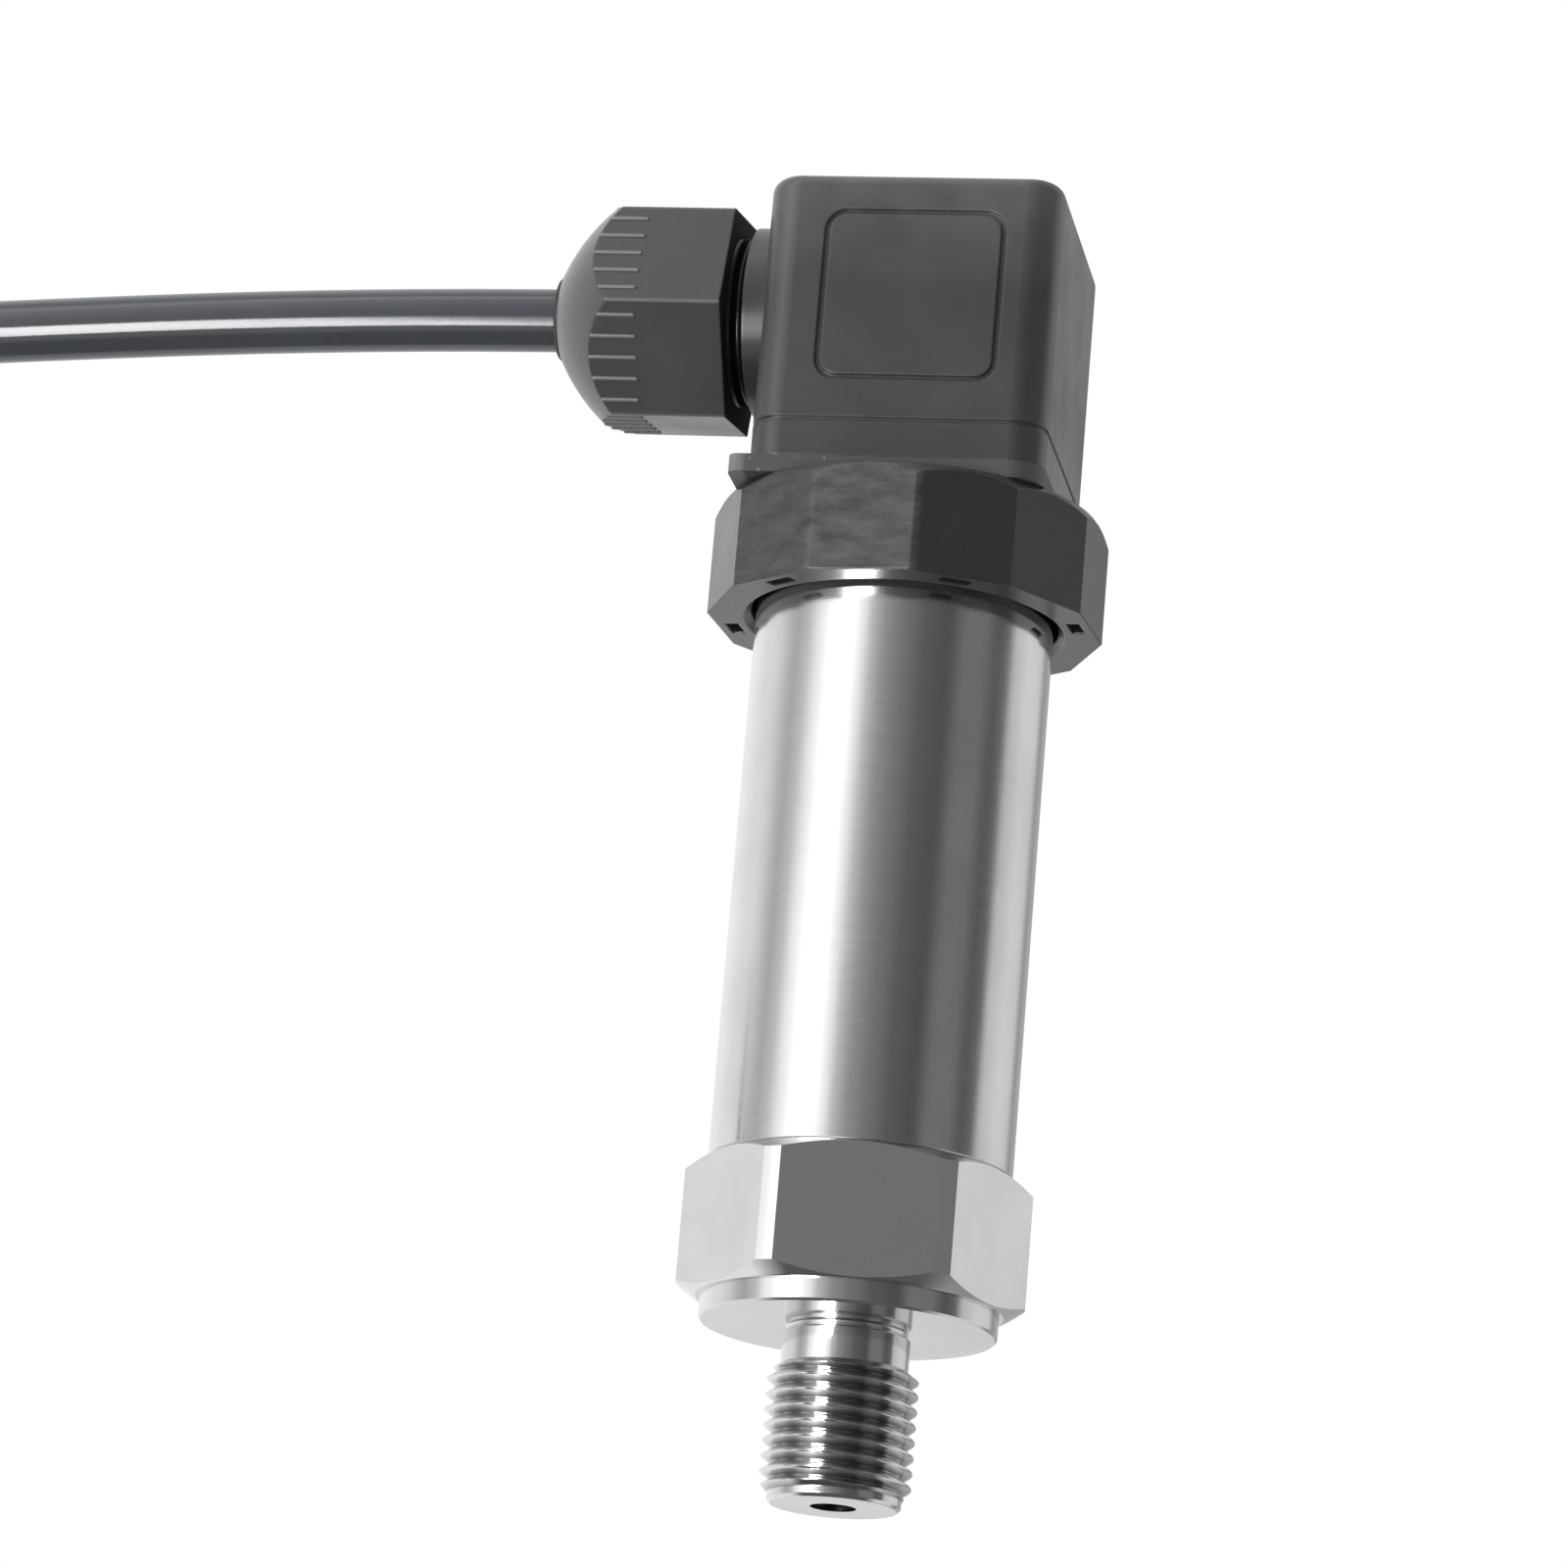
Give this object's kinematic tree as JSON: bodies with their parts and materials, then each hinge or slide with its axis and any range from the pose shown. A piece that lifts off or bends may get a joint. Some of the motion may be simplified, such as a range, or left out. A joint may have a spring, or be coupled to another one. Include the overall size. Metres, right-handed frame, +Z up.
{
  "type": "pressure transmitter",
  "caption": "Steel pressure transmitter with a G 1/4 male thread, a wrench hexagon, a round barrel and a square black cable plug with a side gland and lead.",
  "frame": {"origin": "middle of the collar's sealing face, on the axis of the process thread", "axes": "+Z up the axis from the process thread to the plug; -X the way the cable leaves the gland; -Y the front of the plug"},
  "size_m": [0.1817, 0.0346, 0.1177],
  "materials": {
    "fitting_steel": "turned stainless steel",
    "barrel_steel": "ground stainless steel",
    "screw_steel": "nickel-plated steel",
    "contact_brass": "tinned brass",
    "ceramic": "white alumina",
    "seal_rubber": "matt black nitrile",
    "black_plastic": "black polyamide",
    "ring_plastic": "satin black polyamide, scuffed",
    "housing_plastic": "satin black polyamide",
    "nut_plastic": "satin black polyamide",
    "washer_plastic": "acetal",
    "circuit_board": "green laminate",
    "chip_plastic": "moulded epoxy",
    "lead_insulation": "PVC",
    "flex_film": "amber polyimide film",
    "brown_insulation": "brown PVC",
    "blue_insulation": "blue PVC",
    "earth_insulation": "green and yellow PVC",
    "cable_sheath": "smooth blue-black PVC",
    "tie_plastic": "black nylon"
  },
  "bodies": {
    "transmitter": {"process_fitting": "fitting_steel", "cell_seal": "seal_rubber", "sensor_cell": "ceramic", "cell_pins": "contact_brass", "retaining_ring": "fitting_steel", "barrel": "barrel_steel", "barrel_lower_seal": "seal_rubber", "barrel_upper_seal": "seal_rubber", "board_carrier": "black_plastic", "amplifier_board": "circuit_board", "signal_chip": "chip_plastic", "capacitors": "chip_plastic", "input_header": "chip_plastic", "output_header": "chip_plastic", "cell_flex": "flex_film", "output_leads": "lead_insulation", "connector_base": "ring_plastic", "threaded_insert": "contact_brass", "contact_1_blade": "contact_brass", "contact_2_blade": "contact_brass", "contact_3_blade": "contact_brass", "earth_blade": "contact_brass", "profile_gasket": "seal_rubber"},
    "plug": {"plug_housing": "housing_plastic", "contact_block": "black_plastic", "contact_1_socket": "contact_brass", "contact_2_socket": "contact_brass", "contact_3_socket": "contact_brass", "earth_socket": "contact_brass", "contact_1_screw": "screw_steel", "contact_2_screw": "screw_steel", "contact_3_screw": "screw_steel", "earth_screw": "screw_steel", "cable_seal": "seal_rubber", "core_brown": "brown_insulation", "core_blue": "blue_insulation", "core_earth": "earth_insulation", "cable": "cable_sheath", "cable_coil": "cable_sheath", "cable_tie": "tie_plastic", "cable_end": "cable_sheath"},
    "gland_slide": {"thrust_washer": "washer_plastic"},
    "gland_nut": {"gland_nut": "nut_plastic"},
    "screw_slide": {"screw_washer": "seal_rubber"},
    "centre_screw": {"centre_screw": "screw_steel"}
  },
  "joints": [
    {"name": "plug_lift", "type": "slide", "parent": "transmitter", "child": "plug", "axis": [0, 0, 1], "range_m": [0, 0.02]},
    {"name": "gland_nut_travel", "type": "slide", "parent": "plug", "child": "gland_slide", "axis": [-1, 0, 0], "range_m": [0, 0.00282]},
    {"name": "gland_nut_turn", "type": "hinge", "parent": "gland_slide", "child": "gland_nut", "pos_m": [-0.025, 0, 0.092], "axis": [-1, 0, 0], "range_deg": [0, 722]},
    {"name": "screw_travel", "type": "slide", "parent": "plug", "child": "screw_slide", "axis": [0, 0, 1], "range_m": [0, 0.006]},
    {"name": "centre_screw_turn", "type": "hinge", "parent": "screw_slide", "child": "centre_screw", "pos_m": [0, 0, 0.09], "axis": [0, 0, 1], "range_deg": [0, 4322]}
  ],
  "couplings": [
    {"joint": "gland_nut_turn", "follows": "gland_nut_travel", "rad_per_m": 4452.7},
    {"joint": "centre_screw_turn", "follows": "screw_travel", "rad_per_m": 12566}
  ]
}
